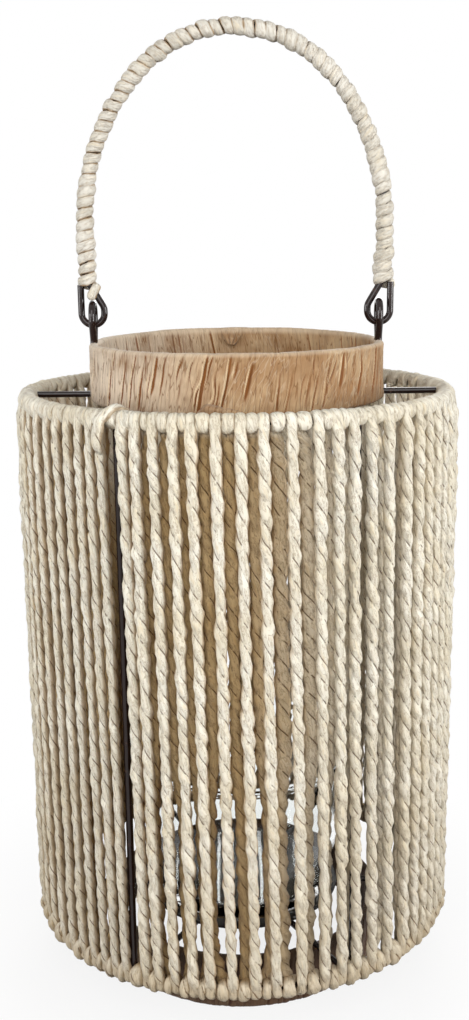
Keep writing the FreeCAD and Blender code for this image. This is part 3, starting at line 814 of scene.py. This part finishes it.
def paper_cord(name, creams, shaded_within, ply_crease_shade, side_shade, crumpled):
    """Twisted paper in two creams, more or less crumpled, with painted shade in its pleats, in dashes
    along the crease between the plies, at its sides where cords meet and towards the bottom. Inside a
    radius a painted tan shade darkens it, left off at the rim and high up at the back where light falls
    in. Towards the right the painted side shade and tan fade as painted light."""
    made, shader, start = finish(name, Specular_IOR_Level=0.2, Sheen_Weight=0.1)
    chart = start.node("UVMap", {"uv_map": "lay"})
    along = chart.part("X")
    turn = chart.part("Y") * math.tau
    skewed = turn - along * 210.0

    def wrinkles(spread, run):
        """Noise on the cord's skin that follows the twist of the plies."""
        sockets = {
            "X": skewed.math("COSINE", skewed) * spread,
            "Y": skewed.math("SINE", skewed) * spread,
            "Z": along * run,
        }
        return noise(start, start.node("CombineXYZ", None, sockets), 1.0, 3.0, 0.6)

    pleats = wrinkles(1.7, 170.0)
    fibres = wrinkles(6.0, 420.0)
    line = 1 - (pleats - 0.5).absolute().between(0.0, 0.04)
    crease = 1 - turn.math("COSINE", turn).absolute().between(0.0, 0.24)
    where = start.node("TexCoord", output="Object")
    height = where.part("Z")
    paper = noise(start, where, 34.0).between(0.3, 0.7).mix(*creams)
    # Painted shade in the pleats and along thin pleat lines.
    shaded = (pleats.between(0.5, 0.74) * 0.5 * crumpled).mix(paper, PLEAT_SHADE)
    lined = (line * 0.45 * crumpled).mix(shaded, PLEAT_SHADE_LINE)
    # Painted shade at the cord's sides, where neighbouring cords or turns meet.
    side = start.node("Attribute", {"attribute_name": "side"}, output="Fac")
    # Painted light: towards the right the painted side shade and inside tan fade.
    right_lit = where.part("X").between(-5 * mm, 55 * mm) * 0.85
    side_shaded = (side.between(0.74, 1.0) * side_shade * (1 - right_lit)).mix(lined, SIDE_SHADE_TAN)
    rim = height.between(top_z - 8 * mm, top_z - 3 * mm)
    # Painted shade in broken dashes along the crease between the plies, weaker near the top ring.
    crease_shade = crease * noise(start, where, 230.0, 2.0).between(0.4, 0.56) * (1 - rim * 0.75)
    # Painted shade: darker towards the bottom, most at the bottom ring.
    low_shade = (1 - height.between(bottom_z, bottom_z + 170 * mm)) * 0.3
    low_shade = low_shade + (1 - height.between(bottom_z - 1 * mm, bottom_z + 9 * mm)) * 0.4
    creased = (crease_shade * ply_crease_shade).mix(low_shade.mix(side_shaded, LOW_SHADE_TAN), CREASE_SHADE_BROWN)
    # Painted tan shade on the inner runs and the inner halves of the outer runs. It is left off at the rim,
    # high up at the back where light falls in, and towards the right.
    level = start.node("VectorMath", {"operation": "MULTIPLY"}, {0: where, 1: (1.0, 1.0, 0.0)})
    reach = start.node("VectorMath", {"operation": "LENGTH"}, {0: level}, "Value")
    inside = 1 - reach.between(shaded_within - 5 * mm, shaded_within)
    behind = where.part("Y").between(-20 * mm, 60 * mm)
    lit_back_top = behind * height.between(top_z - 100 * mm, top_z - 40 * mm)
    inside_shade = inside * (1 - lit_back_top) * (1 - rim) * (1 - right_lit)
    creased.multiplied_by(INSIDE_SHADE_TAN, inside_shade).feed(shader, "Base Color")
    (0.68 + fibres * 0.2).feed(shader, "Roughness")
    bump(shader, start, pleats + fibres * 0.25 - line * 0.2 - crease_shade * 0.3, 1.1 * mm * crumpled)
    return made


def waver(places, end, count):
    """Random values at a count of even marks from 0 to an end, and straight lines between them."""
    return np.interp(places, np.linspace(0, end, count), draw.normal(size=count))


def off_nearest(angle, period):
    """An angle less the multiple of a period that is nearest to it."""
    return (angle + period / 2) % period - period / 2


def on_ring(angle, section, ring_z, offset):
    """Points and outward directions beside a ring: section turns from outwards to up, in degrees."""
    bearing = np.radians(angle)
    roll = np.radians(section)
    radial = np.stack([np.cos(bearing), np.sin(bearing), np.zeros_like(bearing)], axis=-1)
    upright = np.array([0, 0, 1.0])
    away = radial * np.cos(roll)[:, None] + upright * np.sin(roll)[:, None]
    return radial * ring_radius + away * offset + upright * np.asarray(ring_z)[..., None], away


def wrap(start, end, begin, turns_from, turns_to, ring_z, spacer_half):
    """One and a half pressed turns round a ring, from one bearing to another. They begin on the outside
    of the top ring (0 degrees) and on the inside of the bottom one (180)."""
    section = np.linspace(begin, begin + WRAP_TURN, WRAP_STEPS)[1:-1]
    share = smooth(section - begin, turns_from, turns_to)
    middle = np.sin(np.pi * (section - begin) / WRAP_TURN) ** 2
    bearing = start + (end - start) * share + draw.uniform(-0.35, 0.35) * middle
    spaced = share if begin == 0 else 1 - share
    thick = FLAT_HALF * (1 + draw.uniform(-0.1, 0.4) * middle)
    if begin:
        thick = thick * (1.25 + 0.25 * spaced)
    centre, away = on_ring(bearing, section, np.full(len(section), ring_z), (ring_wire / 2 + thick)[:, None])
    wide = FLAT_WIDE + (spacer_half - FLAT_WIDE) * spaced
    return centre, away, wide, thick, np.full(len(section), 0.6 if begin else 0.3)


def run(layer, top, lowest, upward, half, stand, shift=0, slip=0, fill=1):
    """A cord between the rings, on the outside (0 degrees) or the inside (180), bowed and uneven. It
    stands off the rings' circle, is led aside by a shift, slips more low down and may be fuller."""
    share = np.linspace(0, 1, RUN_STEPS)
    if not upward:
        share = 1 - share
    height = bottom_z + (top_z - bottom_z) * share
    end = np.minimum(height - bottom_z, top_z - height)
    ease = smooth(end, 0, EASE)
    sway = draw.uniform(-0.22, 0.22) * np.sin(math.pi * share)
    sway = sway + draw.uniform(-0.12, 0.12) * np.sin(math.tau * share)
    low_down = (1 - smooth(share, 0.3, 0.45)) * smooth(share, 0, 0.06)
    bearing = lowest + (top - lowest) * share + sway + shift * smooth(end, 0, 2 * EASE) + slip * low_down
    offset = wrap_offset + (stand - wrap_offset) * ease
    section = np.full(RUN_STEPS, layer)
    centre, away = on_ring(bearing, section, height, offset[:, None])
    round_half = half * (1 + SWELL * waver(share, 1, 24))
    press = smooth(end, 0, EASE / 2)
    thick = FLAT_HALF + (round_half - FLAT_HALF) * press
    wide = FLAT_WIDE + (round_half * fill - FLAT_WIDE) * press
    return centre, away, wide, thick, 0.3 + 0.7 * press


def seen_aside(bearing, stand):
    """Degrees by which an inner run looks led aside between the outer cords, seen from the front."""
    aside = off_nearest(bearing - FRONT, 180)
    if abs(aside) > SIGHT_LIMIT:
        return 0
    facing = abs(off_nearest(bearing - FRONT, 360)) < 90
    sight = math.radians(aside * (FRONT_SIGHT if facing else BACK_SIGHT))
    return math.degrees((RUN_OFFSET + stand) * math.tan(sight) / ring_radius)


paper = paper_cord(
    "cage_paper",
    CAGE_CREAMS,
    shaded_within=ring_radius + 5 * mm,
    ply_crease_shade=0.9,
    side_shade=0.6,
    crumpled=1.0,
)
for hank in range(len(tops) // LOOPS_PER_HANK):
    stretches = []
    for loop in range(hank * LOOPS_PER_HANK, (hank + 1) * LOOPS_PER_HANK):
        top = tops[loop]
        inner = inners[loop + 1]
        came = inners[loop]
        free = np.radians([inner - top, top - came]) * ring_radius - FLAT_WIDE
        spacer, passed = np.clip(free + SPACER_LAP, *SPACER_HALVES)
        half = SLIM_HALF if BAYS[hank // 2] is LEFT_BAY else CORD_HALF
        gap = math.radians(tops[loop + 1] - top) * ring_radius
        fill = np.clip((gap - 2 * CORD_HALF + FILL_LAP) / (2 * CORD_HALF), 1, FULLEST)
        stand = RUN_OFFSET
        slip = draw.choice([-1, 1]) * draw.uniform(*SLIPS)
        if hank // 2 == CLOSE_BAY:
            stand = CLOSE_OFFSET
            slip = 0
        aside = seen_aside(inner, stand)
        shift = off_nearest(aside, pitch)
        if abs(inner + shift - aside - OPEN_STRUT) < pitch / 2:
            slip = 0
            shift -= pitch / 2
        if abs(off_nearest(inner + shift, BAY_TURN)) < pitch / 2:
            stand = STRUT_OFFSET
        stretches += [
            wrap(came + CORD_LEAN, top + CORD_LEAN, 180, 210, 420, bottom_z, passed),
            run(0, top, top + CORD_LEAN, True, half, RUN_OFFSET),
            wrap(top, inner, 0, 100, 290, top_z, spacer),
            run(180, inner, inner + CORD_LEAN, False, half, stand, shift, slip, fill),
        ]
    parts = [np.concatenate(group) for group in zip(*stretches)]
    winding = cord_mesh(f"wound_cord_{hank + 1}", *parts, CORD_SIDES)
    winding.data.materials.append(paper)
    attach(winding, "frame")
    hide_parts(f"cage_cord_{hank + 1}")


# Strut hitches
# Beside the strut at the front left the end of one length of cord is hitched over the top ring: it comes
# up outside the last cord of a bay, crosses the ring aslant and is tucked in behind the first cord of the
# next. The two struts at the back are taken to have the same; the other three show none.
HITCHED_STRUTS = (1, 2, 4)
HITCH_REACH = 5.0 * mm
HITCH_PROUD = 2.4 * mm
HITCH_HALF = 2.2 * mm
HITCH_FALL = 15 * mm
HITCH_ROLL = 200
HITCH_STEPS = 40

for number in HITCHED_STRUTS:
    share = np.linspace(0, 1, HITCH_STEPS)
    section = HITCH_ROLL * smooth(share, 0.25, 1)
    bearing = BAY_TURN * number - draw.uniform(2.4, 3.4)
    bearing = bearing + draw.uniform(3.6, 5) * smooth(share, 0.15, 0.9)
    height = top_z - HITCH_FALL * (1 - smooth(share, 0, 0.35))
    ends = np.clip(np.minimum(share, 1 - share) / 0.12, 0, 1)
    reach = HITCH_REACH + HITCH_PROUD * (ends - smooth(share, 0.1, 0.5))
    centre, away = on_ring(bearing, section, height, reach[:, None])
    thick = HITCH_HALF * (0.35 + 0.65 * ends)
    crease = np.full(HITCH_STEPS, 0.7)
    hitch = cord_mesh(f"strut_hitch_{number}", centre, away, thick * 1.3, thick, crease, CORD_SIDES)
    hitch.data.materials.append(paper)
    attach(hitch, "frame")


# Handle serving
# The same cord is served round the handle wire from hook to hook, turn against turn, so tightly that
# it flattens. Towards both ends its turns grow a little plumper.
HANDLE_HALF = 76.5 * mm
HANDLE_SPRING = 399.5 * mm
HANDLE_RISE = 94.8 * mm
SIDE_TURN = math.radians(41)
SERVING_PITCH = 5.5 * mm
SERVING_THICK = 1.45 * mm
SERVING_WIDE = 2.9 * mm
SERVING_DROP = 5.3 * mm
SERVING_WANDER = 0.27 * mm
SERVING_UNEVEN = 0.13
END_GAIN = 0.3
END_REACH = 22 * mm
TURN_STEPS = 30
SERVING_SIDES = 14
SERVED_CREAMS = (tint(216, 210, 196), tint(233, 228, 217))

wire_low, wire_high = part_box("handle_wire")
handle_wire = wire_high.y - wire_low.y
serving_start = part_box("handle_serving_left")[0].z - SERVING_DROP
fall = 1 - math.cos(SIDE_TURN)
crown_radius = (HANDLE_HALF * math.sin(SIDE_TURN) - HANDLE_RISE * fall) / (math.sin(SIDE_TURN) - fall)
side_radius = (HANDLE_HALF - crown_radius * math.cos(SIDE_TURN)) / fall
leg = HANDLE_SPRING - serving_start
side_arc = side_radius * SIDE_TURN
half_crown = crown_radius * (math.pi / 2 - SIDE_TURN)
served = 2 * (leg + side_arc + half_crown)


def handle_point(distance):
    """Middle of the handle wire, and its direction, at distances from the left end of the serving."""
    mirrored = distance > served / 2
    way = np.where(mirrored, served - distance, distance)
    on_side = np.clip(way - leg, 0, side_arc) / side_radius
    on_crown = np.clip(way - leg - side_arc, 0, half_crown) / crown_radius
    heading = on_side + on_crown
    straight = np.minimum(way, leg)
    across = -HANDLE_HALF + side_radius * (1 - np.cos(on_side))
    across += crown_radius * (np.cos(on_side) - np.cos(heading))
    height = serving_start + straight + side_radius * np.sin(on_side)
    height += crown_radius * (np.sin(heading) - np.sin(on_side))
    side = np.where(mirrored, -1.0, 1.0)
    level = np.zeros_like(way)
    place = np.stack([across * side, level, height], axis=-1)
    tangent = np.stack([np.sin(heading), level, np.cos(heading) * side], axis=-1)
    return place, tangent


turns = served / SERVING_PITCH
distance = np.linspace(0, served, int(turns * TURN_STEPS))
wander = SERVING_WANDER * waver(distance, served, 60)
place, tangent = handle_point(np.clip(distance + wander, 0, served))
back = np.array([0, 1.0, 0])
normal = np.cross(back, tangent)
roll = math.tau * distance / SERVING_PITCH
away = normal * np.cos(roll)[:, None] + back * np.sin(roll)[:, None]
plump = 1 + SERVING_UNEVEN * waver(distance, served, 150)
end_gain = 1 + END_GAIN * np.exp(-np.minimum(distance, served - distance) / END_REACH)
thick = SERVING_THICK * plump * end_gain
centre = place + away * (handle_wire / 2 + thick * 0.9)[:, None]
wide = SERVING_WIDE * np.clip(plump, 0.9, 1.1)
serving = cord_mesh("served_cord", centre, away, wide, thick, np.full(len(centre), 0.25), SERVING_SIDES)
served_paper = paper_cord(
    "served_paper",
    SERVED_CREAMS,
    shaded_within=0,
    ply_crease_shade=0.3,
    side_shade=0.8,
    crumpled=0.75,
)
serving.data.materials.append(served_paper)
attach(serving, "handle")
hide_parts("handle_serving_left", "handle_serving_crown", "handle_serving_right")


# Serving tail
# The serving's last end, doubled back and pulled down beside the left leg, where it stands out as a
# plump stub in front of the wire.
TAIL_TOP = (-70.6 * mm, -3.4 * mm, 370.0 * mm)
TAIL_TIP = (-75.2 * mm, -4.0 * mm, 361.8 * mm)
TAIL_HALF = 2.5 * mm
TAIL_STEPS = 18

share = np.linspace(0, 1, TAIL_STEPS)
path = np.outer(1 - share, TAIL_TOP) + np.outer(share, TAIL_TIP)
full = TAIL_HALF * np.clip(1 - (2 * share - 1) ** 6, 0.02, 1) ** 0.5
ahead = np.tile([0.0, -1.0, 0.0], (TAIL_STEPS, 1))
tail = cord_mesh("serving_tail", path, ahead, full, full * 0.85, np.full(TAIL_STEPS, 0.3), SERVING_SIDES)
tail.data.materials.append(served_paper)
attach(tail, "handle")
